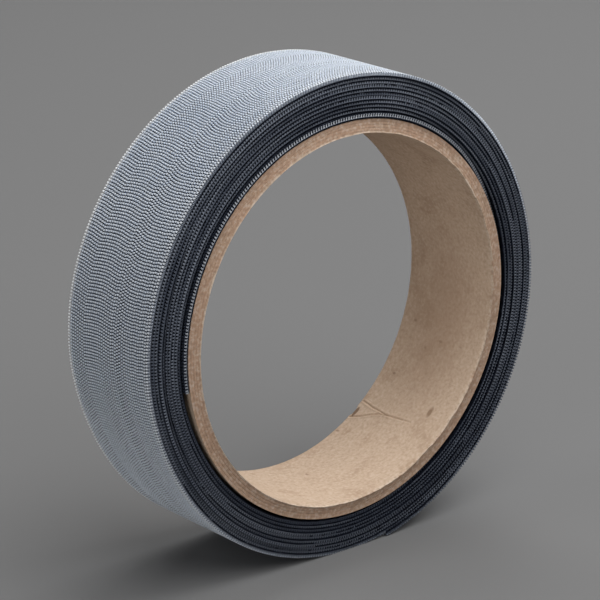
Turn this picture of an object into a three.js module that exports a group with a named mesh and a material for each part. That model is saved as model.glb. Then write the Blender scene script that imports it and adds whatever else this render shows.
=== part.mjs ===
// A roll of back-to-back hook and loop tape on a kraft paper core, standing on its rim.
// Millimetres, +Z up. The roll's axis runs along Y and the face that the photograph shows
// looks along -Y. Places round the roll are clock angles seen from that face: 0 is at the
// top, and they grow clockwise, so 90 is on the +X side. The origin is on the surface that
// the roll stands on, straight below the middle of the bore.
import * as THREE from "three";

// Paper core: board plies wound on each other, with a thin line of glue between them. Its
// front end is level with the tape's edge. It is cut shorter than the tape is wide, so its
// back end lies inside the roll.
const BORE_DIAMETER = 76.2;
const CORE_BACK_SETBACK = 1.3;
const PLY_THICKNESS = 0.55;
const PLY_GLUE_THICKNESS = 0.04;
const PLY_NAMES = [
  "core_inner_ply",
  "core_body_ply_1",
  "core_body_ply_2",
  "core_body_ply_3",
  "core_outer_ply",
];

// Tape: a moulded strip of hooks outside, laminated to a loop fabric that faces the core.
const TAPE_WIDTH = 25.8;
const LOOP_THICKNESS = 0.2;
const LAMINATE_GAP = 0.02;
const BASE_THICKNESS = 0.15;
const HOOK_HEIGHT = 0.41;

// Winding: the tape starts on a glued pad at START_CLOCK_DEG and runs clockwise to END_CLOCK_DEG.
// Every turn lies on the one before and climbs over the start within CLIMB_ANGLE_DEG.
const START_CLOCK_DEG = 262.5;
const END_CLOCK_DEG = 168.5;
const WHOLE_TURNS = 10;
const CLIMB_ANGLE_DEG = 60;
const STEPS_PER_TURN = 48;
const CORNER_SPARE_SHARE = 0.02;

// Glued pad that holds the start of the tape on the core.
const PAD_THICKNESS = 0.1;
const PAD_CLEARANCE = 0.03;
const PAD_LENGTH = 14;
const PAD_SIDE_MARGIN = 2.9;

// Free end: three lengths of tape that bend outwards from each other when it is lifted.
const TAIL_LINKS = 3;
const TAIL_ANGLE_DEG = 33;
const LINK_GAP = 0.3;

// Where the roll stands, its last turn is pressed flat. The hooks take most of the press,
// and the tape under them moves in by TURN_PRESS_SHARE of it. The free end stays just clear.
const FLAT_DEPTH = 0.5;
const TURN_PRESS_SHARE = 0.3;
const FLAT_CLOCK_DEG = 180;
const TAIL_CLEARANCE = 0.1;

// Length along the tape over which the drawn hook layer begins, just past the free end.
const HOOK_LAYER_RAMP_LENGTH = 0.4;

const KRAFT = { color: 0xb89a7d, roughness: 0.9, metalness: 0 };
const HOOK_PLASTIC = { color: 0x9aa2ad, roughness: 0.5, metalness: 0 };
const LOOP_FABRIC = { color: 0x14171f, roughness: 0.95, metalness: 0 };
const PAD_FILM = { color: 0xd9d3c4, roughness: 0.6, metalness: 0 };

// Radii in millimetres and arcs in degrees that follow from the sizes above.
const fullTurn = 360;
const boreRadius = BORE_DIAMETER / 2;
const plyPitch = PLY_THICKNESS + PLY_GLUE_THICKNESS;
const coreRadius = boreRadius + PLY_NAMES.length * plyPitch - PLY_GLUE_THICKNESS;
const startRadius = coreRadius + PAD_THICKNESS + 2 * PAD_CLEARANCE;
const baseOffset = LOOP_THICKNESS + LAMINATE_GAP;
const hookOffset = baseOffset + BASE_THICKNESS;
const tapeThickness = hookOffset + HOOK_HEIGHT;
const lastArc = THREE.MathUtils.euclideanModulo(END_CLOCK_DEG - START_CLOCK_DEG, fullTurn);
const tapeArc = WHOLE_TURNS * fullTurn + lastArc;
const tailRootArc = tapeArc - TAIL_ANGLE_DEG;
const stepArc = fullTurn / STEPS_PER_TURN;

const radians = THREE.MathUtils.degToRad;

// How far the climb over the start has gone, from 0 to 1, at an arc within one turn.
function climbShare(arcInTurn) {
  return THREE.MathUtils.smoothstep(arcInTurn, fullTurn - CLIMB_ANGLE_DEG, fullTurn);
}

// Inner radius of the tape at an arc measured along it from its start.
function tapeRadius(arc) {
  const turn = Math.floor(arc / fullTurn);
  return startRadius + tapeThickness * (turn + climbShare(arc - turn * fullTurn));
}

// Radii are given at the corners of the round's facets. Between two corners a point lies
// on the straight facet, so that every turn keeps the same distance to the next.
function onFacet(clock) {
  const pastCorner = THREE.MathUtils.euclideanModulo(clock, stepArc);
  return Math.cos(radians(stepArc / 2)) / Math.cos(radians(pastCorner - stepArc / 2));
}

// A point of the roll's face, [x, z] from the middle of the bore.
function facePoint(radius, clock) {
  const reach = radius * onFacet(clock);
  return [reach * Math.sin(radians(clock)), reach * Math.cos(radians(clock))];
}

// The surface that the roll stands on lies this far below the middle of the bore.
const flatArc = tapeArc - THREE.MathUtils.euclideanModulo(END_CLOCK_DEG - FLAT_CLOCK_DEG, fullTurn);
const standHeight = tapeRadius(flatArc) + tapeThickness - FLAT_DEPTH;

// A closed band from rings of a section. Each ring holds its inner and outer face points.
function bandGeometry(rings, width) {
  const positions = [];
  for (const { inner, outer } of rings) {
    const corners = [
      [inner, -width / 2],
      [outer, -width / 2],
      [outer, width / 2],
      [inner, width / 2],
    ];
    for (const [[x, z], y] of corners) {
      positions.push(x, y, z + standHeight);
    }
  }
  const index = [];
  const quad = (a, b, c, d) => index.push(a, c, b, a, d, c);
  const corner = (ring, side) => ring * 4 + (side % 4);
  for (let ring = 0; ring + 1 < rings.length; ring += 1) {
    for (let side = 0; side < 4; side += 1) {
      quad(
        corner(ring, side),
        corner(ring, side + 1),
        corner(ring + 1, side + 1),
        corner(ring + 1, side),
      );
    }
  }
  const last = rings.length - 1;
  quad(corner(0, 3), corner(0, 2), corner(0, 1), corner(0, 0));
  quad(corner(last, 0), corner(last, 1), corner(last, 2), corner(last, 3));
  const geometry = new THREE.BufferGeometry();
  geometry.setAttribute("position", new THREE.Float32BufferAttribute(positions, 3));
  geometry.setIndex(index);
  geometry.computeVertexNormals();
  return geometry;
}

// The arcs at which a stretch of tape has a ring: its two ends and each facet corner.
// A corner that all but meets an end is left out.
function ringArcs(from, to) {
  const arcs = [from];
  const spare = stepArc * CORNER_SPARE_SHARE;
  let corner = Math.ceil((START_CLOCK_DEG + from + spare) / stepArc);
  while (corner * stepArc - START_CLOCK_DEG < to - spare) {
    arcs.push(corner * stepArc - START_CLOCK_DEG);
    corner += 1;
  }
  arcs.push(to);
  return arcs;
}

// How far a face point has to rise to lie no lower than the given height over the stand.
function riseTo(point, height) {
  return Math.max(0, height - standHeight - point[1]);
}

// One ring of the tape, from one offset over its inner face to another. In the last turn
// it is pressed flat over the stand, and in the free end it is kept just above it.
function tapeRing(arc, innerOffset, outerOffset) {
  const clock = START_CLOCK_DEG + arc;
  const radius = tapeRadius(arc);
  const inner = facePoint(radius + innerOffset, clock);
  const outer = facePoint(radius + outerOffset, clock);
  if (arc > tapeArc - fullTurn) {
    const tip = facePoint(radius + tapeThickness, clock);
    const press = riseTo(tip, arc < tailRootArc ? 0 : TAIL_CLEARANCE);
    inner[1] += press * TURN_PRESS_SHARE;
    outer[1] += outerOffset > hookOffset ? press : press * TURN_PRESS_SHARE;
  }
  return { inner, outer };
}

// The loop fabric between two arcs.
function loopRings(from, to) {
  return ringArcs(from, to).map((arc) => tapeRing(arc, 0, LOOP_THICKNESS));
}

// The hook strip between two arcs. Its hooks count in its thickness where they face out,
// which is from just past the free end to the end of the tape. Below that, each turn's
// hooks stand in the space up to the next turn, and the solid holds only their base.
function hookRings(from, to) {
  const exposed = tapeArc - fullTurn;
  const rings = (a, b, top) => ringArcs(a, b).map((arc) => tapeRing(arc, baseOffset, top));
  if (from >= exposed) {
    return rings(from, to, tapeThickness);
  }
  const layerArc = THREE.MathUtils.radToDeg(HOOK_LAYER_RAMP_LENGTH / tapeRadius(exposed));
  const covered = rings(from, exposed + layerArc, hookOffset);
  return [...covered, ...rings(exposed + 2 * layerArc, to, tapeThickness)];
}

// Least distance from the outer points of a winding to the inner line of its other turns.
function leastGap(rings) {
  const halfTurn = STEPS_PER_TURN / 2;
  let least = Infinity;
  for (let i = 0; i < rings.length; i += 1) {
    const [px, pz] = rings[i].outer;
    for (let j = i + halfTurn; j + 1 < rings.length; j += 1) {
      const [ax, az] = rings[j].inner;
      const [bx, bz] = rings[j + 1].inner;
      const [dx, dz] = [bx - ax, bz - az];
      const along = ((px - ax) * dx + (pz - az) * dz) / (dx * dx + dz * dz);
      const share = THREE.MathUtils.clamp(along, 0, 1);
      least = Math.min(least, Math.hypot(ax + share * dx - px, az + share * dz - pz));
    }
  }
  return least;
}

const roll = new THREE.Group();

function addPiece(name, geometry, finish) {
  const piece = new THREE.Mesh(geometry, new THREE.MeshStandardMaterial(finish));
  piece.name = name;
  roll.add(piece);
}

// Core: each ply is a sleeve, and the next one sits on it over a line of glue.
function sleeveGeometry(innerRadius, thickness) {
  const outerRadius = innerRadius + thickness;
  const frontEnd = -TAPE_WIDTH / 2;
  const backEnd = TAPE_WIDTH / 2 - CORE_BACK_SETBACK;
  const profile = [
    new THREE.Vector2(innerRadius, frontEnd),
    new THREE.Vector2(outerRadius, frontEnd),
    new THREE.Vector2(outerRadius, backEnd),
    new THREE.Vector2(innerRadius, backEnd),
    new THREE.Vector2(innerRadius, frontEnd),
  ];
  return new THREE.LatheGeometry(profile, STEPS_PER_TURN).translate(0, 0, standHeight);
}

PLY_NAMES.forEach((name, ply) => {
  const sleeve = sleeveGeometry(boreRadius + ply * plyPitch, PLY_THICKNESS);
  addPiece(name, sleeve, KRAFT);
});

// Glued pad: a short strip between the core and the first stretch of the tape.
const padArc = THREE.MathUtils.radToDeg(PAD_LENGTH / coreRadius);
const padInner = coreRadius + PAD_CLEARANCE;
const padRings = ringArcs(0, padArc).map((arc) => ({
  inner: facePoint(padInner, START_CLOCK_DEG + arc),
  outer: facePoint(padInner + PAD_THICKNESS, START_CLOCK_DEG + arc),
}));
addPiece("start_pad", bandGeometry(padRings, TAPE_WIDTH - 2 * PAD_SIDE_MARGIN), PAD_FILM);

// Wound tape: both layers are one unbroken strip each, from the start to the free end.
const rootRadius = tapeRadius(tailRootArc);
const gapArc = THREE.MathUtils.radToDeg(LINK_GAP / rootRadius);
const woundLoop = loopRings(0, tailRootArc - gapArc / 2);
const woundHooks = hookRings(0, tailRootArc - gapArc / 2);
addPiece("loop_backing", bandGeometry(woundLoop, TAPE_WIDTH), LOOP_FABRIC);
addPiece("hook_strip", bandGeometry(woundHooks, TAPE_WIDTH), HOOK_PLASTIC);

// Free end: both layers go on as three short lengths, parted at the lines they bend on.
const linkArc = TAIL_ANGLE_DEG / TAIL_LINKS;
for (let link = 0; link < TAIL_LINKS; link += 1) {
  const from = tailRootArc + link * linkArc + gapArc / 2;
  const lastLink = link === TAIL_LINKS - 1;
  const to = tailRootArc + (link + 1) * linkArc - (lastLink ? 0 : gapArc / 2);
  const suffix = `_tail_${link + 1}`;
  addPiece(`loop_backing${suffix}`, bandGeometry(loopRings(from, to), TAPE_WIDTH), LOOP_FABRIC);
  addPiece(`hook_strip${suffix}`, bandGeometry(hookRings(from, to), TAPE_WIDTH), HOOK_PLASTIC);
}

console.log(`loop backing, least gap to itself ${leastGap(woundLoop).toFixed(3)} mm`);
console.log(`hook strip, least gap to itself ${leastGap(woundHooks).toFixed(3)} mm`);
console.log(`the bore's middle is ${standHeight.toFixed(3)} mm above the stand`);
for (let link = 0; link < TAIL_LINKS; link += 1) {
  const bend = tailRootArc + link * linkArc;
  const [x, z] = facePoint(tapeRadius(bend) + tapeThickness, START_CLOCK_DEG + bend);
  console.log(`bend line ${link + 1} at x ${x.toFixed(3)}, z ${(z + standHeight).toFixed(3)} mm`);
}

export default roll;
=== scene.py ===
# A roll of back-to-back hook and loop tape on a kraft paper core, standing on its rim.
# Metres, +Z up. The roll's axis runs along Y and its photographed face looks along -Y.
# Clock angles are seen from that face: 0 is at the top, and they grow clockwise.
import math

import bmesh
import bpy
import numpy as np
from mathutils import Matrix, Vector, noise


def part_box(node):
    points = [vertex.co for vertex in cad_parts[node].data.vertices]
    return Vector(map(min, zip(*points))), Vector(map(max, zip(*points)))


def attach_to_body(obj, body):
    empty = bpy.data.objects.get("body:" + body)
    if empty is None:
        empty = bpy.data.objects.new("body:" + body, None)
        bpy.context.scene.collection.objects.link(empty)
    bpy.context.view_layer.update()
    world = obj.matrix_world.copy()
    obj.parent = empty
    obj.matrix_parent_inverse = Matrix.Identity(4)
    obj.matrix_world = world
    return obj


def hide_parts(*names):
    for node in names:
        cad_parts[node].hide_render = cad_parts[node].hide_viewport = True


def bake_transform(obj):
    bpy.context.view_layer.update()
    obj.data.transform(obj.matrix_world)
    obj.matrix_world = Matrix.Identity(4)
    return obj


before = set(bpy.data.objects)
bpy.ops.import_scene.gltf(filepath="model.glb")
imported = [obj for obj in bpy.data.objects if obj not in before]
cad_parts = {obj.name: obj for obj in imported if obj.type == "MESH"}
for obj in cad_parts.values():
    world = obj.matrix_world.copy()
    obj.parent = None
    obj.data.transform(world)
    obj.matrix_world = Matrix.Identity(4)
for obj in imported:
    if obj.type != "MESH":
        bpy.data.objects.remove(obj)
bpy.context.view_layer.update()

# Camera: a long lens to the left of the roll's face and a little above it. It aims just
# beside the middle of the bore, from a little over half a metre away.
VIEW_AZIMUTH = math.radians(-39.87)
VIEW_ELEVATION = math.radians(18.12)
VIEW_DISTANCE = 0.5562
AIM_TO_THE_RIGHT = -0.00202
AIM_UP = 0.0012
LENS_MM = 165.14

liner_low, liner_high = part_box("core_inner_ply")
bore_centre = Vector((0, 0, (liner_low.z + liner_high.z) / 2))

towards_camera = Vector((
    math.sin(VIEW_AZIMUTH) * math.cos(VIEW_ELEVATION),
    -math.cos(VIEW_AZIMUTH) * math.cos(VIEW_ELEVATION),
    math.sin(VIEW_ELEVATION),
))
picture_right = (-towards_camera).cross(Vector((0, 0, 1))).normalized()
picture_up = picture_right.cross(-towards_camera)
aim = bore_centre + picture_right * AIM_TO_THE_RIGHT + picture_up * AIM_UP

camera = bpy.data.objects.new("photo_camera", bpy.data.cameras.new("photo_camera"))
camera.data.lens = LENS_MM
camera.location = aim + towards_camera * VIEW_DISTANCE
camera.rotation_euler = (-towards_camera).to_track_quat("-Z", "Y").to_euler()
bpy.context.scene.collection.objects.link(camera)
bpy.context.scene.camera = camera

# Studio: a plain matt floor under an even sky, with five soft lamps. Two large ones hang high
# to the right and in front, a weak one fills from the left, and two behind the roll light its
# rims. The roll stands on the tips of its hooks.
FLOOR_LEVEL = -0.0005
FLOOR_SIZE = 8.0
FLOOR_TONE = (0.170, 0.170, 0.170, 1)
SKY_TONE = (1.0, 1.0, 1.0, 1)
SKY_STRENGTH = 0.04
LAMPS = {
    "right_top_lamp": {"place": (0.55, 0.00, 0.95), "size": 1.2, "watts": 9.8},
    "front_top_lamp": {"place": (0.00, -0.60, 0.95), "size": 1.2, "watts": 9.8},
    "left_lamp": {"place": (-1.10, -0.35, 0.15), "size": 0.6, "watts": 3.2},
    "left_back_lamp": {"place": (-0.80, 0.60, 0.60), "size": 0.7, "watts": 1.8},
    "right_back_lamp": {"place": (0.55, 0.70, 0.85), "size": 0.7, "watts": 3.6},
}


def new_material(name):
    """An empty node material: itself, its node tree and its Principled shader."""
    material = bpy.data.materials.new(name)
    material.use_nodes = True
    return material, material.node_tree, material.node_tree.nodes["Principled BSDF"]


def make_floor():
    bm = bmesh.new()
    bmesh.ops.create_grid(bm, x_segments=1, y_segments=1, size=FLOOR_SIZE / 2)
    bmesh.ops.translate(bm, verts=bm.verts, vec=(0, 0, FLOOR_LEVEL))
    mesh = bpy.data.meshes.new("floor")
    bm.to_mesh(mesh)
    bm.free()
    floor = bpy.data.objects.new("floor", mesh)
    bpy.context.scene.collection.objects.link(floor)
    material, _, shader = new_material("floor_paper")
    shader.inputs["Base Color"].default_value = FLOOR_TONE
    shader.inputs["Roughness"].default_value = 1
    shader.inputs["Specular IOR Level"].default_value = 0
    mesh.materials.append(material)


def make_lamp(name, place, size, watts):
    lamp = bpy.data.objects.new(name, bpy.data.lights.new(name, "AREA"))
    lamp.data.shape = "DISK"
    lamp.data.size = size
    lamp.data.energy = watts
    lamp.location = place
    lamp.rotation_euler = (bore_centre - lamp.location).to_track_quat("-Z", "Y").to_euler()
    bpy.context.scene.collection.objects.link(lamp)


make_floor()
for lamp_name, lamp_facts in LAMPS.items():
    make_lamp(lamp_name, **lamp_facts)

world = bpy.data.worlds.new("studio")
world.use_nodes = True
world.node_tree.nodes["Background"].inputs["Color"].default_value = SKY_TONE
world.node_tree.nodes["Background"].inputs["Strength"].default_value = SKY_STRENGTH
bpy.context.scene.world = world
bpy.context.scene.view_settings.view_transform = "Standard"

# Paper core: five plies of kraft board, glued on each other on a mandrel. It was cut to
# length with a knife from outside, which left a ragged lip at the inner edge. Someone's grip
# has creased the liner and chipped it at the back, and it has a stain and a damp patch. The
# chip's dark colour is painted shadow, and the damp patch is partly painted shade.
CORE_STEPS = 720
PLY_NAMES = ("core_inner_ply", "core_body_ply_1", "core_body_ply_2", "core_body_ply_3",
             "core_outer_ply")
PLY_THICKNESS = 0.00055
KNIFE_EDGE = 0.00001
LIP_PROUD = 0.00045
LIP_ROUND = 0.00022
# The cut's raggedness, its fineness, how much coarser its slow part is, and its share at the
# core's outside and at its back end.
RAGGED = 0.00008
RAGGED_SCALE = 900
RAGGED_COARSE = 0.3
RAGGED_OUTSIDE = 0.08
RAGGED_BACK = 0.6
# Depths below its ends between which the board's own colour turns into that of the cut.
FRONT_CUT_DEPTHS = (0.00012, 0.0)
BACK_CUT_DEPTHS = (0.00015, 0.00002)
# The crease's two branches and its tail, as (clock, mm from the roll's middle) of their bends.
CREASES = (
    ((140.4, 10.9), (141.2, 7.9), (141.5, 5.7), (141.9, 3.6)),
    ((147.3, 11.2), (145.4, 8.5), (143.9, 6.8), (142.6, 5.0), (142.1, 3.4), (141.8, 1.1),
     (141.5, -1.3), (141.2, -4.6)),
)
CREASE_DEPTH = 0.00020
CREASE_WIDTH = 0.00019
# Board pushed up beside a crease: its share of the depth, and its place and width in widths
# of the crease.
SHOULDER_SHARE = 0.35
SHOULDER_PLACE = 2.2
SHOULDER_WIDTH = 1.2
# Where the crease has died out, in mm from the roll's middle, and over what length.
CREASE_END = -5.5
CREASE_FADE = 4
# Part of the bore that the creases and the chip reach, and the clocks between which its mesh
# is made finer, each time by one cut.
CREASED_CLOCKS = (134, 154)
CREASED_FROM_Y = -0.0065
FINER_CLOCKS = ((137, 151), (139, 149))
LINER_CUTS = 48
LENGTHWAYS_EDGE = 0.001
CHIP_DEPTH = 0.0003
CHIP_WIDTH_DEG = 1.9
CHIP_FROM_Y = 0.008
# Marks on the liner: clock, distance from the roll's middle, and reach round the bore, along
# it and into the board. The damp patch on the bore's right side stands partly for darker pulp
# and partly for painted shade.
CHIP = (144.8, 0.0109, (0.00155, 0.00055, 0.0020))
STAIN = (135.5, -0.0073, (0.0014, 0.0007, 0.002))
DAMP_AND_SHADE_PATCH = (106, 0.0, (0.022, 0.010, 0.010))
# Colours of the board: its pulp, where it is cut and torn, and what lies in it and on it.
# The chip's colour is painted shadow under its torn flap, and the damp patch's colour is partly
# darker pulp and partly painted shade.
PULP = (0.555, 0.420, 0.312, 1)
CUT_PULP = (0.465, 0.302, 0.208, 1)
LIP_PULP = (0.60, 0.475, 0.365, 1)
BLOTCH = (0.42, 0.295, 0.205, 1)
SMUDGE = (0.36, 0.235, 0.150, 1)
DARK_GRAIN = (0.37, 0.255, 0.175, 1)
LIGHT_GRAIN = (0.70, 0.585, 0.465, 1)
TORN_DARK = (0.30, 0.205, 0.155, 1)
TORN_LIGHT = (0.62, 0.52, 0.45, 1)
FIBRE = (0.66, 0.54, 0.42, 1)
FLECK = (0.20, 0.12, 0.075, 1)
DAMP_AND_SHADE = (0.35, 0.232, 0.157, 1)
STAINED = (0.25, 0.160, 0.100, 1)
CHIP_SHADOW = (0.17, 0.100, 0.060, 1)


def link_piece(name, mesh, material):
    piece = bpy.data.objects.new(name, mesh)
    bpy.context.scene.collection.objects.link(piece)
    mesh.materials.append(material)
    return piece


def add_node(tree, kind, **values):
    """A shader node with its settings and its plain inputs filled in by name."""
    node = tree.nodes.new("ShaderNode" + kind)
    for name, value in values.items():
        if hasattr(node, name):
            setattr(node, name, value)
        else:
            node.inputs[name.replace("_", " ")].default_value = value
    return node


def feed(tree, socket, source):
    """Fills an input from another node's output or with a plain value."""
    if isinstance(source, bpy.types.NodeSocket):
        tree.links.new(source, socket)
    else:
        socket.default_value = source


def mix_colours(tree, share, first, second):
    mix = add_node(tree, "Mix", data_type="RGBA")
    feed(tree, mix.inputs[0], share)
    feed(tree, mix.inputs[6], first)
    feed(tree, mix.inputs[7], second)
    return mix.outputs[2]


def ramp(tree, source, start, end, strength=1.0):
    """A mask that grows smoothly from 0 to its strength between two source values."""
    node = add_node(tree, "MapRange", interpolation_type="SMOOTHSTEP",
                    From_Min=start, From_Max=end, To_Min=0.0, To_Max=strength)
    tree.links.new(source, node.inputs["Value"])
    return node.outputs["Result"]


def math_node(tree, operation, first, second=0.0):
    node = add_node(tree, "Math", operation=operation)
    feed(tree, node.inputs[0], first)
    feed(tree, node.inputs[1], second)
    return node.outputs[0]


def mapped(tree, place, **values):
    """Places moved, turned or stretched by a Mapping node with the given settings."""
    mapping = add_node(tree, "Mapping", **values)
    tree.links.new(place, mapping.inputs["Vector"])
    return mapping.outputs["Vector"]


def noise_at(tree, place, scale, detail, stretch=(1, 1, 1), turn=(0, 0, 0), distortion=0.0):
    texture = add_node(tree, "TexNoise", Scale=scale, Detail=detail, Distortion=distortion)
    tree.links.new(mapped(tree, place, Scale=stretch, Rotation=turn), texture.inputs["Vector"])
    return texture.outputs["Fac"]


def length_of(tree, vector):
    node = add_node(tree, "VectorMath", operation="LENGTH")
    tree.links.new(vector, node.inputs[0])
    return node.outputs["Value"]


def bump(tree, shader, height, distance):
    node = add_node(tree, "Bump", Distance=distance)
    tree.links.new(height, node.inputs["Height"])
    tree.links.new(node.outputs["Normal"], shader.inputs["Normal"])


def mark_distance(tree, place, clock, y, reach):
    """How far a point lies from a mark on the liner: 1 where the mark ends."""
    turn = math.radians(clock)
    middle = (liner_bore * math.sin(turn), y, bore_centre.z + liner_bore * math.cos(turn))
    return length_of(tree, mapped(tree, place, vector_type="TEXTURE", Location=middle,
                                  Rotation=(0, turn, 0), Scale=reach))


def cut_masks(tree, place):
    """Where the board is cut across: at its front end, and at either end."""
    axis = add_node(tree, "SeparateXYZ")
    tree.links.new(place, axis.inputs[0])
    front = ramp(tree, axis.outputs["Y"], *(liner_low.y + depth for depth in FRONT_CUT_DEPTHS))
    back = ramp(tree, axis.outputs["Y"], *(liner_high.y - depth for depth in BACK_CUT_DEPTHS))
    return front, math_node(tree, "MAXIMUM", front, back)


def lip_mask(tree, place, wear):
    """The torn lip round the bore, which is wider where it is more worn."""
    from_axis = mapped(tree, place, Location=(0, 0, -bore_centre.z), Scale=(1, 0, 1))
    worn_off = math_node(tree, "MULTIPLY", wear, 0.0013)
    beyond_wear = math_node(tree, "SUBTRACT", length_of(tree, from_axis), worn_off)
    return ramp(tree, beyond_wear, liner_bore - 0.0001, liner_bore - 0.0004)


def fibre_mask(tree, place):
    """Long fibres that lie in the board's face, some along the core and some across it."""
    lengthways = noise_at(tree, place, scale=330, detail=3, stretch=(5, 1, 5),
                          turn=(0, 0, 0.3), distortion=0.9)
    crossways = noise_at(tree, place, scale=300, detail=3, stretch=(1, 6, 1.5),
                         turn=(0.5, 0, 0.2), distortion=0.9)
    return math_node(tree, "MAXIMUM", ramp(tree, lengthways, 0.62, 0.72),
                     ramp(tree, crossways, 0.62, 0.72))


def fleck_mask(tree, place):
    """Dark specks of bark: a small spot in a few of the cells of a Voronoi pattern."""
    cells = add_node(tree, "TexVoronoi", Scale=420, Randomness=1.0)
    stretched = mapped(tree, place, Scale=(1, 0.6, 1), Rotation=(0.4, 0.9, 0.3))
    tree.links.new(stretched, cells.inputs["Vector"])
    chosen = add_node(tree, "SeparateColor")
    tree.links.new(cells.outputs["Color"], chosen.inputs[0])
    return math_node(tree, "MULTIPLY", ramp(tree, cells.outputs["Distance"], 0.17, 0.06),
                     ramp(tree, chosen.outputs[0], 0.16, 0.10))


def kraft_material():
    """Kraft board: mottled brown pulp with long fibres and dark flecks, darker where cut."""
    material, tree, shader = new_material("kraft_board")
    place = add_node(tree, "TexCoord").outputs["Object"]
    front_cut, cut = cut_masks(tree, place)
    wear = noise_at(tree, place, scale=420, detail=4)
    grain = noise_at(tree, place, scale=1500, detail=6)
    speckle = noise_at(tree, place, scale=1300, detail=6)
    blotches = noise_at(tree, place, scale=85, detail=6, distortion=0.8)
    smudges = noise_at(tree, place, scale=210, detail=5, distortion=0.5)
    uncut = math_node(tree, "SUBTRACT", 1.0, cut)
    fibres = math_node(tree, "MULTIPLY", fibre_mask(tree, place), uncut)
    damp_and_shade = math_node(tree, "ADD", mark_distance(tree, place, *DAMP_AND_SHADE_PATCH), wear)
    stain = math_node(tree, "ADD", mark_distance(tree, place, *STAIN), grain)
    chip = mark_distance(tree, place, *CHIP)

    def on_front(mask):
        return math_node(tree, "MULTIPLY", mask, front_cut)

    # What covers the plain pulp, from the bottom up: a mask and a colour for each.
    covers = (
        (cut, CUT_PULP),
        (on_front(lip_mask(tree, place, wear)), LIP_PULP),
        (ramp(tree, blotches, 0.46, 0.70, strength=0.60), BLOTCH),
        (ramp(tree, smudges, 0.60, 0.72, strength=0.45), SMUDGE),
        (ramp(tree, grain, 0.50, 0.70, strength=0.40), DARK_GRAIN),
        (ramp(tree, grain, 0.50, 0.32, strength=0.35), LIGHT_GRAIN),
        (on_front(ramp(tree, speckle, 0.50, 0.66, strength=0.45)), TORN_DARK),
        (on_front(ramp(tree, speckle, 0.50, 0.36, strength=0.35)), TORN_LIGHT),
        (math_node(tree, "MULTIPLY", fibres, 0.16), FIBRE),
        (math_node(tree, "MULTIPLY", fleck_mask(tree, place), 0.6), FLECK),
        # Partly darker pulp and partly painted shade on the bore's right side, where little light
        # reaches.
        (ramp(tree, damp_and_shade, 2.0, 0.6, strength=0.50), DAMP_AND_SHADE),
        (ramp(tree, stain, 1.6, 1.0, strength=0.80), STAINED),
        # Painted shadow: the chip's torn flap is darkened as if in its own shade.
        (ramp(tree, chip, 1.0, 0.7, strength=0.85), CHIP_SHADOW),
    )
    tone = PULP
    for mask, colour in covers:
        tone = mix_colours(tree, mask, tone, colour)
    tree.links.new(tone, shader.inputs["Base Color"])
    shader.inputs["Roughness"].default_value = 0.95
    shader.inputs["Specular IOR Level"].default_value = 0.15
    relief = math_node(tree, "ADD", grain, math_node(tree, "MULTIPLY", fibres, 0.6))
    bump(tree, shader, relief, 0.00005)
    return material


def crease_depth(clock, y):
    """How far the liner is pressed in at a place of the bore."""
    mm_per_degree = math.radians(1) * liner_high.x * 1000
    spot = np.array([clock * mm_per_degree, y * 1000])
    nearest = math.inf
    for line in CREASES:
        bends = np.array(line) * [mm_per_degree, 1]
        for start, end in zip(bends[:-1], bends[1:]):
            along = np.clip((spot - start) @ (end - start) / ((end - start) @ (end - start)), 0, 1)
            nearest = min(nearest, np.linalg.norm(spot - start - along * (end - start)))
    width = CREASE_WIDTH * 1000
    groove = math.exp(-(nearest / width) ** 2)
    shoulder = math.exp(-((nearest - SHOULDER_PLACE * width) / (SHOULDER_WIDTH * width)) ** 2)
    fade = min(1, max(0, (y * 1000 - CREASE_END) / CREASE_FADE))
    return CREASE_DEPTH * (groove - SHOULDER_SHARE * shoulder) * fade


def ply_mesh(name, inner_radius, outer_radius, front, back, is_liner):
    """A sleeve of board: its section is spun round the roll's axis, then cut and creased."""
    bm = bmesh.new()
    section = [(inner_radius, front), (outer_radius, front), (outer_radius, back),
               (inner_radius, back)]
    corners = [bm.verts.new((radius, y, 0)) for radius, y in section]
    edges = [bm.edges.new((corners[i - 1], corners[i])) for i in range(len(corners))]
    bmesh.ops.spin(bm, geom=corners + edges, axis=(0, 1, 0), cent=(0, 0, 0),
                   angle=math.tau, steps=CORE_STEPS, use_merge=True)
    bmesh.ops.recalc_face_normals(bm, faces=bm.faces)
    rims = [e for e in bm.edges if len(e.link_faces) == 2 and e.calc_face_angle() > 1]
    bmesh.ops.bevel(bm, geom=rims, offset=KNIFE_EDGE, segments=2, profile=0.5,
                    affect="EDGES", material=-1)
    if is_liner:
        crease_liner(bm, inner_radius)
    core_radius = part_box(PLY_NAMES[-1])[1].x
    for v in bm.verts:
        radius = math.hypot(v.co.x, v.co.z)
        if v.co.y < front + 2 * KNIFE_EDGE:
            share = (core_radius - radius) / (core_radius - liner_bore)
            fuzz = sum(noise.noise(v.co * RAGGED_SCALE * part) for part in (1, RAGGED_COARSE))
            v.co.y -= LIP_PROUD * share ** 2 + RAGGED * fuzz * (RAGGED_OUTSIDE + share ** 4)
            if radius < liner_bore + 2 * KNIFE_EDGE:
                widen = 1 + (LIP_ROUND + RAGGED * fuzz) / radius
                v.co.x *= widen
                v.co.z *= widen
        elif v.co.y > back - 2 * KNIFE_EDGE:
            v.co.y += RAGGED * RAGGED_BACK * noise.noise(v.co * RAGGED_SCALE)
    bmesh.ops.translate(bm, verts=bm.verts, vec=bore_centre)
    mesh = bpy.data.meshes.new(name)
    bm.to_mesh(mesh)
    bm.free()
    mesh.shade_smooth()
    mesh.set_sharp_from_angle(angle=math.radians(20))
    return mesh


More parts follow.
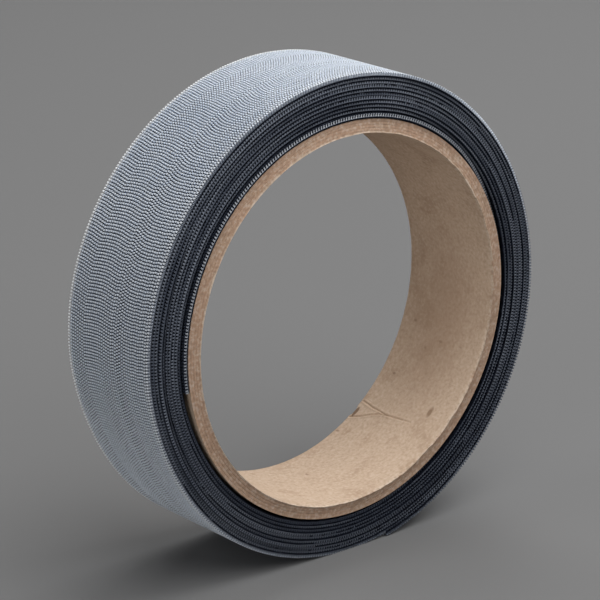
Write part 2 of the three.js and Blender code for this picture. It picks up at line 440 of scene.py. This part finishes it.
def crease_liner(bm, inner_radius):
    """Refines the bore round the crease, presses its grooves in and chips the back edge."""
    def clock_of(co):
        return math.degrees(math.atan2(co.x, co.z)) % 360

    bore_edges = [
        e for e in bm.edges
        if abs(e.verts[0].co.y - e.verts[1].co.y) > LENGTHWAYS_EDGE
        and all(math.hypot(v.co.x, v.co.z) < inner_radius + KNIFE_EDGE / 2 for v in e.verts)
    ]
    bmesh.ops.subdivide_edges(bm, edges=bore_edges, cuts=LINER_CUTS)
    for low, high in FINER_CLOCKS:
        around = [
            e for e in bm.edges
            if all(math.hypot(v.co.x, v.co.z) < inner_radius + KNIFE_EDGE / 2
                   and low < clock_of(v.co) < high and CREASED_FROM_Y < v.co.y for v in e.verts)
        ]
        bmesh.ops.subdivide_edges(bm, edges=around, cuts=1, use_grid_fill=True)
    for v in bm.verts:
        radius = math.hypot(v.co.x, v.co.z)
        clock = clock_of(v.co)
        if not CREASED_CLOCKS[0] < clock < CREASED_CLOCKS[1]:
            continue
        chip = math.exp(-((clock - CHIP[0]) / CHIP_WIDTH_DEG) ** 4)
        if v.co.y > CHIP_FROM_Y:
            towards_back = (v.co.y - CHIP_FROM_Y) / (liner_high.y - CHIP_FROM_Y)
            v.co.y -= CHIP_DEPTH * chip * towards_back ** 2
        if radius < inner_radius + KNIFE_EDGE / 2:
            grow = 1 + crease_depth(clock, v.co.y) / radius
            v.co.x *= grow
            v.co.z *= grow


liner_bore = liner_high.x - PLY_THICKNESS
kraft = kraft_material()
for node in PLY_NAMES:
    low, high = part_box(node)
    mesh = ply_mesh(f"{node}_board", high.x - PLY_THICKNESS, high.x, low.y, high.y,
                    node == PLY_NAMES[0])
    ply = link_piece(f"{node}_board", mesh, kraft)
    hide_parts(node)
    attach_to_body(ply, "roll")

# Start pad: a short strip of double-sided film, pressed on the core, that the tape's first
# end sticks to. It keeps its solid and only gets its milky film finish.


def pad_material():
    material, tree, shader = new_material("pad_film")
    place = add_node(tree, "TexCoord").outputs["Object"]
    cloud = noise_at(tree, place, scale=400, detail=4)
    tone = mix_colours(tree, cloud, (0.62, 0.58, 0.49, 1), (0.74, 0.70, 0.61, 1))
    tree.links.new(tone, shader.inputs["Base Color"])
    shader.inputs["Roughness"].default_value = 0.35
    return material


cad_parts["start_pad"].data.materials.clear()
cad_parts["start_pad"].data.materials.append(pad_material())

# Tape: brushed loop knit with a hook film laminated to its back, one strip wound clockwise
# from its start on the core. Its turns lie closer than it is thick, because the hooks of each
# press into the next one's pile. Every length is built flat here, and is then wound.
TAPE_HALF_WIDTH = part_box("hook_strip")[1].y
PILE_TOP = 0.00030
FILM_BOTTOM = 0.00031
FILM_TOP = 0.00041
PILE_FRAY = 0.00012
FILM_FRAY = 0.00003
TAPE_PITCH = 0.00078
START_CLOCK = 262.5
END_CLOCK = 168.5
WHOLE_TURNS = 10
TAPE_ARC = WHOLE_TURNS * 360 + END_CLOCK - START_CLOCK + 360
START_GAP = 0.00016
START_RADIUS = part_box("core_outer_ply")[1].x + START_GAP
STEP_ARC = 1.0
CLEAR_OF_FLOOR = 0.00002
EDGE_BAND = 0.00012
# Fineness of the frayed edges: per degree along the tape, and per metre up and across it.
FRAY_ALONG = 1.7
FRAY_UP = 9000
FRAY_ACROSS = 90
# Pile's cut edge: how far it lies back at most and on average, how fast that changes along
# the tape in its long and its short waves, the short ones' part in it, and the share that is
# left near the top and bottom, where it is least. RECESS_TURN is twice the angle, in radians,
# from the top to the least place. The front edge reads all this EDGE_OFFSET degrees back along
# the tape, and the back edge as far on, so that the two differ.
PILE_RECESS = 0.00036
RECESS_MEAN = 0.45
RECESS_LONG_WAVE = 0.021
RECESS_SHORT_WAVE = 0.09
RECESS_SHORT_PART = 0.6
RECESS_LEAST = 0.1
RECESS_TURN = 0.28
EDGE_OFFSET = 700
# Milkiness of the tape's edge: how often it changes, its least level and how much is added
# at random, and its share on the core. Painted light is laid over it: its mean and its swing
# round the roll, lightest at one clock, where the light falls.
SHADE_LENGTH = 17
MILKY_LEAST = 0.12
MILKY_RANDOM = 0.6
MILKY_ON_CORE = 0.3
LIGHT_SWING_MEAN = 0.82
LIGHT_SWING = 0.25
LIGHTEST_CLOCK = 345
# How far the tape stands off an even spiral, in mm: on the core, in the turns next to it
# and in the last turn. The places are clocks from one passing of the start to the next.
RISE_CLOCKS = (262.5, 268, 280, 300, 340, 388, 415, 440, 480, 517, 532, 550, 582, 603, 615, 622.5)
RISE_FIRST = (0, 0, 0, 0, 0, 0, 0, 0, 0, 0.05, 0.13, 0.26, 0.38, 0.52, 0.80, 1.03)
RISE_INNER = (0.25, 0.25, 0.25, 0.26, 0.28, 0.28, 0.24, 0.20, 0.20, 0.20, 0.24, 0.30, 0.38, 0.50,
              0.80, 1.03)
RISE_OUTER = (0.10, 0.28, 0.40, 0.35, 0.28, 0.08, 0.00, -0.08, -0.15, -0.20, -0.15, -0.05, 0.20,
              0.28, 0.53, 0.88)
RISE_SOFTENED_OVER = 9
# How far in mm the tape's edge lies back: at places of the first turns, in degrees from its
# start, and in the settled turns after them, which lean more to one side of the roll.
EDGE_SHIFTS = (
    (0, -0.18), (140, -0.15), (165, 1.0), (235, 1.0), (265, 0.35), (330, 0.3), (385, 0.7),
    (450, 0.45), (560, 0.25), (640, 0.3),
)
SETTLES_FROM = 560
SETTLES_OVER = 160
SETTLED_SHIFT = 0.22
SETTLED_SWING = 0.20
SETTLED_SWING_CLOCK = 300
# Lengths that stand proud or back of their turn: start, end and shift, softened at both ends.
PROUD_LENGTHS = ((1597, 1668, -0.22), (2040, 2118, -0.25), (2458, 2552, -0.4))
PROUD_SOFTENED_OVER = 12
# Fine wander of the edge: how far in mm, and how many waves to a turn.
WANDER = ((0.05, 2.3), (0.04, 5.1))
# How far the film lies above its usual height: less on the core, more at the free end.
FILM_LIFTS = (
    (0, -0.0001), (300, -0.0001), (390, 0), (TAPE_ARC - 16, 0), (TAPE_ARC - 5, 0.00006),
    (TAPE_ARC, 0.00010),
)

arc_table = np.arange(0, TAPE_ARC + 2 * STEP_ARC, STEP_ARC)


def radius_table():
    """Radius of the tape's inner face at each step along it."""
    turn = np.floor(arc_table / 360)
    clock = START_CLOCK + arc_table - 360 * turn
    first, inner, outer = (np.interp(clock, RISE_CLOCKS, rise) / 1000
                           for rise in (RISE_FIRST, RISE_INNER, RISE_OUTER))
    outwards = np.clip((turn - 1) / (WHOLE_TURNS - 1), 0, 1)
    rise = np.where(turn < 1, first, inner + (outer - inner) * outwards)
    radius = START_RADIUS + turn * TAPE_PITCH + rise
    window = np.hanning(2 * RISE_SOFTENED_OVER + 1)
    padded = np.pad(radius, RISE_SOFTENED_OVER, mode="edge")
    return np.convolve(padded, window / window.sum(), mode="valid")


def shift_table():
    """How far the tape's edge lies towards the back of the roll at each step along it."""
    arcs, shifts = zip(*EDGE_SHIFTS)
    clock = np.radians(START_CLOCK + arc_table)
    pack = SETTLED_SHIFT + SETTLED_SWING * np.cos(clock - math.radians(SETTLED_SWING_CLOCK))
    settled = np.clip((arc_table - SETTLES_FROM) / SETTLES_OVER, 0, 1)
    shift = np.interp(arc_table, arcs, shifts) * (1 - settled) + pack * settled
    for start, end, amount in PROUD_LENGTHS:
        to_nearer_end = np.minimum(arc_table - start, end - arc_table)
        inside = np.clip(1 + to_nearer_end / PROUD_SOFTENED_OVER, 0, 1)
        shift += amount * inside * inside * (3 - 2 * inside)
    wander = sum(reach * np.sin(np.radians(arc_table * waves)) for reach, waves in WANDER)
    return (shift + wander) / 1000


radii = radius_table()
shifts_back = shift_table()


def film_lift(arc):
    """How far the film lies above its usual height at places along the tape."""
    return np.interp(arc, *zip(*FILM_LIFTS))


def wind(flat):
    """Where points of the flat tape lie on the roll. A flat point has its degrees along the
    tape, its distance across it and its height above the tape's inner face."""
    arc, across, height = flat[:, 0], flat[:, 1], flat[:, 2]
    clock = np.radians(START_CLOCK + arc)
    height = height + film_lift(arc) * np.clip(height / PILE_TOP, 0, 1)
    radius = np.interp(arc, arc_table, radii) + height
    x = radius * np.sin(clock)
    z = np.maximum(radius * np.cos(clock) + bore_centre.z, FLOOR_LEVEL + CLEAR_OF_FLOOR)
    return np.stack([x, across + np.interp(arc, arc_table, shifts_back), z], axis=1)


def wind_mesh(mesh):
    flat = np.empty(len(mesh.vertices) * 3, np.float32)
    mesh.vertices.foreach_get("co", flat)
    wound = wind(flat.reshape(-1, 3).astype(float))
    mesh.vertices.foreach_set("co", wound.astype(np.float32).ravel())
    mesh.update()


def milkiness_and_light_along(arc):
    """How light the tape's edge is along it, from 0 to 1: milkiness with painted light round the
    roll.
    """
    levels = np.random.default_rng(11).random(int(TAPE_ARC / SHADE_LENGTH) + 3)
    level = np.interp(arc / SHADE_LENGTH, np.arange(len(levels)),
                      MILKY_LEAST + MILKY_RANDOM * levels)
    off_core = np.clip(MILKY_ON_CORE + (arc - 360) / 60, MILKY_ON_CORE, 1)
    # Painted light: the edge is lighter round the top left of the roll, where the light falls.
    painted_light_round_roll = np.cos(np.radians(START_CLOCK + arc - LIGHTEST_CLOCK))
    return level * off_core * (LIGHT_SWING_MEAN + LIGHT_SWING * painted_light_round_roll)


def store_shade(mesh, name, values):
    """Keeps one value for each point of a mesh, for its material to read."""
    attribute = mesh.attributes.new(name, "FLOAT", "POINT")
    attribute.data.foreach_set("value", values.astype(np.float32))


def pile_recess(arc):
    """How far the pile's cut edge lies inside the film's: least near the top and bottom, and
    less on the roll's right side than on its left."""
    long_wave = noise.noise(Vector((arc * RECESS_LONG_WAVE, 4.7, 0)))
    short_wave = noise.noise(Vector((arc * RECESS_SHORT_WAVE, 0, 2)))
    depth = min(1, max(0, RECESS_MEAN + (long_wave + RECESS_SHORT_PART * short_wave)))
    clock = math.radians(START_CLOCK + arc)
    sides = (0.5 - 0.5 * math.cos(2 * clock - RECESS_TURN)) * (0.8 - 0.2 * math.sin(clock))
    return PILE_RECESS * depth * (RECESS_LEAST + (1 - RECESS_LEAST) * sides)


def layer_mesh(name, arc_from, arc_to, bottom, top, half_width, ragged):
    """One layer of the tape between two arcs: a flat grid given its thickness and wound."""
    steps = max(2, round((arc_to - arc_from) / STEP_ARC))
    half_grid = 0.5
    bm = bmesh.new()
    bmesh.ops.create_grid(bm, x_segments=steps, y_segments=3, size=half_grid)
    for v in bm.verts:
        v.co.x = (arc_from + arc_to) / 2 + v.co.x * (arc_to - arc_from)
        inner_row = abs(v.co.y) < half_grid * 0.8
        v.co.y = math.copysign(half_width - (EDGE_BAND if inner_row else 0), v.co.y)
        v.co.z = bottom
    grown = bmesh.ops.extrude_face_region(bm, geom=list(bm.faces), use_keep_orig=True)
    lifted = [part for part in grown["geom"] if isinstance(part, bmesh.types.BMVert)]
    bmesh.ops.translate(bm, verts=lifted, vec=(0, 0, top - bottom))
    bmesh.ops.recalc_face_normals(bm, faces=bm.faces)
    for v in bm.verts:
        side = math.copysign(1, v.co.y)
        if abs(v.co.y) > half_width - EDGE_BAND / 2:
            spot = Vector((v.co.x * FRAY_ALONG, v.co.z * FRAY_UP, v.co.y * FRAY_ACROSS))
            v.co.y += side * ragged * noise.noise(spot)
        if bottom == 0:
            v.co.y -= side * pile_recess(v.co.x + side * EDGE_OFFSET)
    mesh = bpy.data.meshes.new(name)
    bm.to_mesh(mesh)
    bm.free()
    flat = np.empty(len(mesh.vertices) * 3, np.float32)
    mesh.vertices.foreach_get("co", flat)
    flat = flat.reshape(-1, 3)
    store_shade(mesh, "edge_share", np.abs(flat[:, 1]) > half_width - EDGE_BAND / 2)
    store_shade(mesh, "milky_and_lit_share", milkiness_and_light_along(flat[:, 0]))
    wind_mesh(mesh)
    mesh.shade_smooth()
    mesh.set_sharp_from_angle(angle=math.radians(40))
    return mesh


# Colours of the knit, of the nylon's cut edge from clear to milky and under its own heads, and
# of the film's face and its cut edge.
YARN_TONES = ((0.002, 0.0025, 0.005, 1), (0.010, 0.013, 0.022, 1))
LINT = (0.10, 0.11, 0.13, 1)
CLEAR_EDGE = (0.020, 0.028, 0.051, 1)
MILKY_EDGE = (0.39, 0.43, 0.505, 1)
HEAD_SHADE = (0.02, 0.025, 0.04, 1)
FILM_TONES = ((0.11, 0.135, 0.18, 1), (0.17, 0.20, 0.25, 1))
FILM_EDGE = (0.010, 0.013, 0.024, 1)


def loop_material():
    """Brushed loop knit: matt navy black, with lint and unevenly dyed yarn."""
    material, tree, shader = new_material("loop_fabric")
    place = add_node(tree, "TexCoord").outputs["Object"]
    yarn = noise_at(tree, place, scale=1800, detail=4)
    tone = mix_colours(tree, ramp(tree, yarn, 0.35, 0.75), *YARN_TONES)
    lint = ramp(tree, noise_at(tree, place, scale=2600, detail=2), 0.72, 0.80, strength=0.4)
    tone = mix_colours(tree, lint, tone, LINT)
    tree.links.new(tone, shader.inputs["Base Color"])
    shader.inputs["Roughness"].default_value = 1
    shader.inputs["Specular IOR Level"].default_value = 0.05
    bump(tree, shader, yarn, 0.00012)
    return material


def cut_edge_group():
    """Shade of the nylon's cut edge: the knit shows through it, less where milky or painted light.
    """
    group = bpy.data.node_groups.new("cut_edge", "ShaderNodeTree")
    group.interface.new_socket("Milkiness_and_light", in_out="INPUT", socket_type="NodeSocketFloat")
    group.interface.new_socket("Height", in_out="INPUT", socket_type="NodeSocketFloat")
    group.interface.new_socket("Color", in_out="OUTPUT", socket_type="NodeSocketColor")
    given = group.nodes.new("NodeGroupInput")
    shade = mix_colours(group, given.outputs["Milkiness_and_light"], CLEAR_EDGE, MILKY_EDGE)
    under_head = ramp(group, given.outputs["Height"], 0.6, 1.0)
    shade = mix_colours(group, under_head, shade, HEAD_SHADE)
    group.links.new(shade, group.nodes.new("NodeGroupOutput").inputs["Color"])
    return group


cut_edge_shade = cut_edge_group()


def cut_edge(tree, height=0.0):
    """The nylon's cut edge in one material, as milky and as lit by painted light as the tape
    there.
    """
    node = tree.nodes.new("ShaderNodeGroup")
    node.node_tree = cut_edge_shade
    milkiness_and_light = add_node(tree, "Attribute", attribute_name="milky_and_lit_share").outputs["Fac"]
    tree.links.new(milkiness_and_light, node.inputs["Milkiness_and_light"])
    feed(tree, node.inputs["Height"], height)
    return node.outputs["Color"]


def film_material():
    """Base film of the hooks: translucent grey over the dark knit, milky at its cut edge."""
    material, tree, shader = new_material("hook_film")
    place = add_node(tree, "TexCoord").outputs["Object"]
    edge = add_node(tree, "Attribute", attribute_name="edge_share").outputs["Fac"]
    tone = mix_colours(tree, noise_at(tree, place, scale=900, detail=3), *FILM_TONES)
    tone = mix_colours(tree, edge, tone, mix_colours(tree, 0.4, FILM_EDGE, cut_edge(tree)))
    tree.links.new(tone, shader.inputs["Base Color"])
    shader.inputs["Roughness"].default_value = 0.5
    return material


loops = loop_material()
film = film_material()
# Free end: its lengths, and the degrees of tape in all of them. Each bend is spread from a
# little before its hinge to some way past it.
TAIL_LINKS = 3
TAIL_ARC = 33
TAIL_ROOT_ARC = TAPE_ARC - TAIL_ARC
LINK_ARC = TAIL_ARC / TAIL_LINKS
BEND_BEFORE_ARC = 1.2
BEND_AFTER_ARC = 3.6


def stretches():
    """The lengths that the tape is made in: name, arcs and the body or bodies they follow."""
    found = [("wound", 0, TAIL_ROOT_ARC - BEND_BEFORE_ARC, ["roll"])]
    bodies = ["roll"] + [f"tail_{link + 1}" for link in range(TAIL_LINKS)]
    for link in range(TAIL_LINKS):
        bend = TAIL_ROOT_ARC + link * LINK_ARC
        link_end = bend + LINK_ARC - BEND_BEFORE_ARC if link < TAIL_LINKS - 1 else TAPE_ARC
        found.append((f"bend_{link + 1}", bend - BEND_BEFORE_ARC, bend + BEND_AFTER_ARC,
                      bodies[link:link + 2]))
        found.append((f"tail_{link + 1}", bend + BEND_AFTER_ARC, link_end,
                      bodies[link + 1:link + 2]))
    return found


def attach(piece, bodies):
    """A stretch rides on its body. One that crosses a bend line only has its transform baked in.
    """
    if len(bodies) == 1:
        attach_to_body(piece, bodies[0])
        return
    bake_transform(piece)


# Lengths that replace a CAD node, and how the node's name ends.
REPLACED = {"wound": "", "tail_1": "_tail_1", "tail_2": "_tail_2", "tail_3": "_tail_3"}
for part, arc_from, arc_to, bodies in stretches():
    for layer, node, bottom, top, material, slot, ragged in (
        ("loops", "loop_backing", 0, PILE_TOP, loops, "loop_fabric", PILE_FRAY),
        ("film", "hook_strip", FILM_BOTTOM, FILM_TOP, film, "hook_plastic", FILM_FRAY),
    ):
        name = f"{layer}_{part}"
        mesh = layer_mesh(name, arc_from, arc_to, bottom, top, TAPE_HALF_WIDTH, ragged)
        piece = link_piece(name, mesh, material)
        if part in REPLACED:
            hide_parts(node + REPLACED[part])
        attach(piece, bodies)

# Hooks: nylon, moulded in one with the film in 36 lines along the tape. Each is a slanted
# post whose head turns over. The mould is a stack of toothed rings, one for each line, and
# no ring stands quite level with the next.
HOOK_PITCH = 0.000635
HOOK_LINES = 36
LINE_PITCH = 0.000715
HOOK_WIDTH = 0.00061
HOOK_HEIGHT = 0.00062
HOOK_SINK = 0.00002
HOOK_OUTLINE = (
    (-0.00027, 0.0), (-0.00013, 0.00026), (-0.00015, 0.00048), (-0.00006, 0.00062),
    (0.00014, 0.00062), (0.00025, 0.00047), (0.00012, 0.00045), (0.00010, 0.00026),
    (0.00024, 0.0),
)
# Rings of the mould and how far each is turned, in hook pitches. Between these it changes
# evenly.
RING_TURNS = (
    (0, 0.30), (1, 0.62), (2, 0.60), (4, 1.05), (6, 1.08), (7, 1.30), (10, 1.28), (12, 0.85),
    (14, 0.00), (15, -0.14), (16, 0.10), (17, 0.04), (19, -0.24), (20, -0.46), (22, -0.57),
    (25, -0.32), (27, 0.00), (28, 0.15), (30, -0.17), (32, -0.60), (35, -0.80),
)


def hook_shape():
    """One hook: points, faces. Its side is drawn once and pulled across the hook's width."""
    bm = bmesh.new()
    outline = [
        bm.verts.new((s, -HOOK_WIDTH / 2, h if h > 0 else -HOOK_SINK)) for s, h in HOOK_OUTLINE
    ]
    side = bm.faces.new(outline)
    grown = bmesh.ops.extrude_face_region(bm, geom=[side], use_keep_orig=True)
    far_side = [part for part in grown["geom"] if isinstance(part, bmesh.types.BMVert)]
    bmesh.ops.translate(bm, verts=far_side, vec=(0, HOOK_WIDTH, 0))
    bmesh.ops.recalc_face_normals(bm, faces=bm.faces)
    bmesh.ops.triangulate(bm, faces=bm.faces)
    bm.verts.index_update()
    points = np.array([v.co[:] for v in bm.verts])
    faces = np.array([[v.index for v in f.verts] for f in bm.faces])
    bm.free()
    return points, faces


# The last turn's hooks are all made, from a little way in under the free end. Inside the
# roll only the lines at the tape's edges are, and more of them in the turn next to the core.
UNDER_FREE_END = 36
EXPOSED_ARC = TAPE_ARC - 360 - UNDER_FREE_END
EDGE_LINES = (0, 1, HOOK_LINES - 2, HOOK_LINES - 1)
FIRST_TURN_LINES = (2, 3, 4)
FIRST_TURN_END = 400
# Painted light on the hooks next to the core: how lit they are at places along the tape, lit
# round the top of the roll and in painted shade beyond it, and how much of that light and of
# the milkiness the ones off the edge lines keep, being darker as painted shade.
FIRST_TURN_LIT_SHARES = ((0, 0.5), (30, 0.8), (60, 1), (100, 1), (150, 0.6), (190, 0))
INSIDE_LIT = 0.05
INSIDE_SHADED_MILKINESS = 0.2
# Painted light on the rims of the last turn: distance across the tape where each rim starts,
# and how far it takes to its full strength. The painted highlight is strongest round one clock,
# and on the far side of it painted shade darkens the edge lines instead.
BACK_RIM_START = 0.0121
BACK_RIM_WIDTH = 0.0002
FRONT_RIM_START = 0.0110
FRONT_RIM_WIDTH = 0.0016
FRONT_RIM_STRENGTH = 0.4
LIT_RIM_CLOCK = 310
RIM_SHADE_STRENGTH = 0.7
step_lengths = np.radians(STEP_ARC) * (radii[:-1] + FILM_TOP)
length_table = np.concatenate([[0], np.cumsum(step_lengths)])


def hook_places(line, arc_from, arc_to):
    """Arcs of the hooks of one line between two arcs."""
    rows = np.arange(0, length_table[-1], HOOK_PITCH)
    shifted = rows - HOOK_PITCH * (np.interp(line, *zip(*RING_TURNS)) % 1)
    arcs = np.interp(shifted, length_table, arc_table)
    return arcs[(arcs >= arc_from) & (arcs < arc_to)]


def plant_hooks(name, lines, arc_from, arc_to):
    """A mesh with a hook at each place of the given lines between two arcs."""
    points, faces = hook_shape()
    placed = []
    for line in lines:
        arcs = hook_places(line, arc_from, arc_to)
        across = (line - (HOOK_LINES - 1) / 2) * LINE_PITCH
        per_metre = np.degrees(1 / (np.interp(arcs, arc_table, radii) + FILM_TOP))
        flat = np.empty((len(arcs), len(points), 3))
        flat[:, :, 0] = arcs[:, None] + points[None, :, 0] * per_metre[:, None]
        flat[:, :, 1] = across + points[None, :, 1]
        flat[:, :, 2] = FILM_TOP + points[None, :, 2]
        placed.append(flat.reshape(-1, 3))
    flat = np.concatenate(placed)
    count = len(flat) // len(points)
    all_faces = (faces[None] + np.arange(count)[:, None, None] * len(points)).reshape(-1, 3)
    mesh = bpy.data.meshes.new(name)
    mesh.vertices.add(len(flat))
    mesh.vertices.foreach_set("co", wind(flat).astype(np.float32).ravel())
    mesh.loops.add(all_faces.size)
    mesh.loops.foreach_set("vertex_index", all_faces.astype(np.int32).ravel())
    mesh.polygons.add(len(all_faces))
    mesh.polygons.foreach_set("loop_start", np.arange(0, all_faces.size, 3, dtype=np.int32))
    at_side = np.abs(flat[:, 1]) > LINE_PITCH * (HOOK_LINES / 2 - 1)
    # Painted light: the rims get a painted highlight round one clock and painted shade on the far
    # side of it.
    lit_side = np.clip(1 + np.cos(np.radians(START_CLOCK + flat[:, 0] - LIT_RIM_CLOCK)), 0, 1)
    back_rim = np.clip((flat[:, 1] - BACK_RIM_START) / BACK_RIM_WIDTH, 0, 1)
    front_rim = np.clip((-flat[:, 1] - FRONT_RIM_START) / FRONT_RIM_WIDTH, 0, 1)
    shades = {
        "height_share": np.tile(np.clip(points[:, 2] / HOOK_HEIGHT, 0, 1), count),
        # Painted light on the hooks next to the core, and painted shade on the lines behind the
        # edge ones.
        "first_turn_lit_share": np.interp(flat[:, 0], *zip(*FIRST_TURN_LIT_SHARES))
        * np.where(at_side, 1, INSIDE_LIT),
        "rim_highlight_share": (back_rim + FRONT_RIM_STRENGTH * front_rim) * lit_side,
        "rim_shade_share": np.where(at_side, RIM_SHADE_STRENGTH * (1 - lit_side), 0),
        "hook_tone": np.repeat(np.random.default_rng(7).random(count), len(points)),
        "across_share": np.tile(np.sign(points[:, 1]), count),
        "milky_and_lit_share": milkiness_and_light_along(flat[:, 0]) * np.where(at_side, 1, INSIDE_SHADED_MILKINESS),
    }
    for shade, values in shades.items():
        store_shade(mesh, shade, values)
    mesh.update()
    mesh.validate()
    mesh.shade_flat()
    return mesh


# Colours of the nylon: its heads and its low parts from their middle to their sides, the low
# parts darker partly as painted shade between the hooks, its rims with painted highlight and
# painted shade, and inside the roll its stems as painted light shows them, its heads and the
# knit seen through it.
HEAD_TONES = ((0.585, 0.647, 0.75, 1), (0.685, 0.747, 0.85, 1))
LOW_TONES = ((0.23, 0.275, 0.35, 1), (0.52, 0.57, 0.64, 1))
RIM_HIGHLIGHT = (0.88, 0.90, 0.93, 1)
RIM_SHADE = (0.055, 0.065, 0.09, 1)
STEM_TONES = ((0.42, 0.45, 0.50, 1), (0.66, 0.69, 0.73, 1))
WOUND_HEAD = (0.40, 0.43, 0.48, 1)
KNIT_BEHIND = (0.025, 0.031, 0.048, 1)
# Part of a hook's width, from its middle, from which its cut side shows.
CUT_SIDE = (0.97, 0.995)


def shade_of(tree, name):
    return add_node(tree, "Attribute", attribute_name=name).outputs["Fac"]


def set_nylon(shader, spread):
    """The nylon's gloss, and how much of its light spreads inside it."""
    shader.inputs["Roughness"].default_value = 0.4
    shader.inputs["Subsurface Weight"].default_value = spread
    shader.inputs["Subsurface Radius"].default_value = (1.0, 1.0, 1.0)
    shader.inputs["Subsurface Scale"].default_value = 0.0004


def outer_hook_material():
    """Moulded nylon outside the roll: translucent silver grey, low parts darker partly as painted
    shade.
    """
    material, tree, shader = new_material("hook_plastic")
    height = shade_of(tree, "height_share")
    off_middle = math_node(tree, "ABSOLUTE", shade_of(tree, "across_share"))
    head = mix_colours(tree, shade_of(tree, "hook_tone"), *HEAD_TONES)
    # The low parts are darker partly for the knit under the clear nylon and partly as painted
    # shade in the gaps between hooks.
    low_down = mix_colours(tree, ramp(tree, off_middle, 0.4, 0.85), *LOW_TONES)
    tone = mix_colours(tree, ramp(tree, height, 0.30, 0.95), low_down, head)
    # Painted highlight on the rims, and painted shade on the edge lines on the far side of the
    # roll.
    tone = mix_colours(tree, shade_of(tree, "rim_highlight_share"), tone, RIM_HIGHLIGHT)
    tone = mix_colours(tree, shade_of(tree, "rim_shade_share"), tone, RIM_SHADE)
    cut_side = ramp(tree, off_middle, *CUT_SIDE, strength=0.95)
    tone = mix_colours(tree, cut_side, tone, cut_edge(tree, height))
    tree.links.new(tone, shader.inputs["Base Color"])
    set_nylon(shader, spread=0.8)
    return material


def inner_hook_material():
    """The same nylon between the turns: the dark knit shows through it, and the first turn has
    painted light.
    """
    material, tree, shader = new_material("wound_hook_plastic")
    height = shade_of(tree, "height_share")
    clear = mix_colours(tree, shade_of(tree, "hook_tone"), *STEM_TONES)
    clear = mix_colours(tree, ramp(tree, height, 0.45, 0.8), clear, WOUND_HEAD)
    # Painted light and shade: the first turn's hooks take their lit colour round the roll's top,
    # the knit's dark beyond.
    tone = mix_colours(tree, shade_of(tree, "first_turn_lit_share"), cut_edge(tree, height), clear)
    off_middle = math_node(tree, "ABSOLUTE", shade_of(tree, "across_share"))
    tone = mix_colours(tree, ramp(tree, off_middle, *CUT_SIDE), KNIT_BEHIND, tone)
    tree.links.new(tone, shader.inputs["Base Color"])
    set_nylon(shader, spread=0.15)
    return material


outer_nylon = outer_hook_material()
inner_nylon = inner_hook_material()
wound, *free_end = stretches()
OUTER_GROUPS = 3
hook_fields = []
for group in range(OUTER_GROUPS):
    lines = range(group * HOOK_LINES // OUTER_GROUPS, (group + 1) * HOOK_LINES // OUTER_GROUPS)
    hook_fields.append((f"hooks_outer_{group + 1}", lines, EXPOSED_ARC, wound[2], ["roll"]))
for part, arc_from, arc_to, bodies in free_end:
    hook_fields.append((f"hooks_{part}", range(HOOK_LINES), arc_from, arc_to, bodies))
for line in EDGE_LINES:
    hook_fields.append((f"hooks_inner_{line + 1}", [line], 0, EXPOSED_ARC, ["roll"]))
hook_fields.append(("hooks_first_turn", FIRST_TURN_LINES, 0, FIRST_TURN_END, ["roll"]))
for name, lines, arc_from, arc_to, bodies in hook_fields:
    nylon = outer_nylon if arc_from >= EXPOSED_ARC else inner_nylon
    piece = link_piece(name, plant_hooks(name, lines, arc_from, arc_to), nylon)
    attach(piece, bodies)
